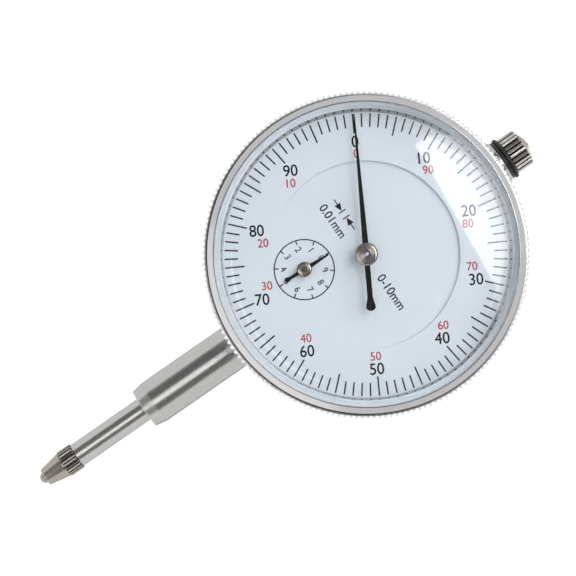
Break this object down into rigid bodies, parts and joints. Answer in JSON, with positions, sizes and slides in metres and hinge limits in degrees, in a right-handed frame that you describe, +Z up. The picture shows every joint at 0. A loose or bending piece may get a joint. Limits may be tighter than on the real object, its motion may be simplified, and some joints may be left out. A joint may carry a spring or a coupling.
{
  "type": "dial indicator",
  "caption": "Plunger dial indicator: knurled turning bezel over a graduated dial, clamping stem, sliding spindle with contact point, lifting cap and a lug back.",
  "frame": {"origin": "on the spindle's axis, at the middle of the clamping stem's free length", "axes": "+Z up along the spindle towards the lifting cap, -Y the way the dial faces, +X right seen from the front"},
  "size_m": [0.0568, 0.0363, 0.1046],
  "materials": {
    "case_metal": "satin die-cast",
    "polished_steel": "ground and polished",
    "spindle_steel": "ground hardened steel",
    "plated_steel": "nickel plated, knurled",
    "ball_steel": "polished hardened ball",
    "bezel_metal": "satin chrome plated, knurled edge",
    "screw_steel": "zinc plated",
    "movement_brass": "fine brushed",
    "bracket_steel": "bright drawn",
    "arbor_steel": "polished",
    "spring_steel": "drawn wire",
    "dial_paint": "satin pale enamel",
    "hand_paint": "matte black",
    "hub_metal": "turned, nickel plated",
    "washer_rubber": "matte black",
    "crystal_acrylic": "clear polished acrylic"
  },
  "bodies": {
    "case": {"case_body": "case_metal", "back_cover": "case_metal", "back_cover_screws": "screw_steel", "stem": "polished_steel", "lower_bush": "movement_brass", "upper_bush": "polished_steel", "movement_plate": "movement_brass", "plate_pillars": "movement_brass", "plate_screws": "screw_steel", "rear_bridge": "movement_brass", "bridge_pillars": "movement_brass", "bridge_screws": "screw_steel", "guide_plate": "bracket_steel", "guide_screws": "screw_steel", "spring_post": "bracket_steel", "return_spring": "spring_steel", "bezel_spring": "spring_steel", "centre_bush": "movement_brass", "transfer_bush": "movement_brass", "counter_bush": "movement_brass", "hairspring": "spring_steel", "hairspring_stud": "movement_brass", "inner_dial": "dial_paint"},
    "spindle": {"spindle": "spindle_steel", "contact_point": "plated_steel", "contact_ball": "ball_steel", "cap_washer": "washer_rubber", "lifting_cap": "plated_steel", "guide_pin": "spindle_steel", "guide_sleeve": "spindle_steel"},
    "transfer_arbor": {"transfer_pinion": "arbor_steel", "transfer_wheel": "movement_brass", "transfer_collet": "movement_brass"},
    "centre_arbor": {"centre_pinion": "arbor_steel", "main_hand": "hand_paint", "main_hand_hub": "hub_metal"},
    "counter_arbor": {"counter_arbor": "arbor_steel", "counter_wheel": "movement_brass", "counter_collet": "movement_brass", "hairspring_collet": "movement_brass", "small_hand": "hand_paint", "small_hand_hub": "hub_metal"},
    "bezel": {"bezel_ring": "bezel_metal", "dial_ring": "dial_paint", "crystal": "crystal_acrylic"}
  },
  "joints": [
    {"name": "spindle_slide", "type": "slide", "parent": "case", "child": "spindle", "axis": [0, 0, 1], "range_m": [0, 0.0103], "stiffness_N_per_m": 50, "springref_m": -0.018, "deforming": ["return_spring"]},
    {"name": "transfer_turn", "type": "hinge", "parent": "case", "child": "transfer_arbor", "pos_m": [-0.0032, 0, 0.04721], "axis": [0, -1, 0], "range_deg": [-5, 376]},
    {"name": "centre_turn", "type": "hinge", "parent": "case", "child": "centre_arbor", "pos_m": [0, 0, 0.03675], "axis": [0, -1, 0], "range_deg": [-3718, 5]},
    {"name": "counter_turn", "type": "hinge", "parent": "case", "child": "counter_arbor", "pos_m": [-0.00397, 0, 0.02655], "axis": [0, -1, 0], "range_deg": [-5, 376]},
    {"name": "bezel_turn", "type": "hinge", "parent": "case", "child": "bezel", "pos_m": [0, 0, 0.03675], "axis": [0, -1, 0], "continuous": true}
  ],
  "couplings": [
    {"joint": "transfer_turn", "follows": "spindle_slide", "rad_per_m": 628.32},
    {"joint": "centre_turn", "follows": "spindle_slide", "rad_per_m": -6283.2},
    {"joint": "counter_turn", "follows": "spindle_slide", "rad_per_m": 628.32}
  ]
}
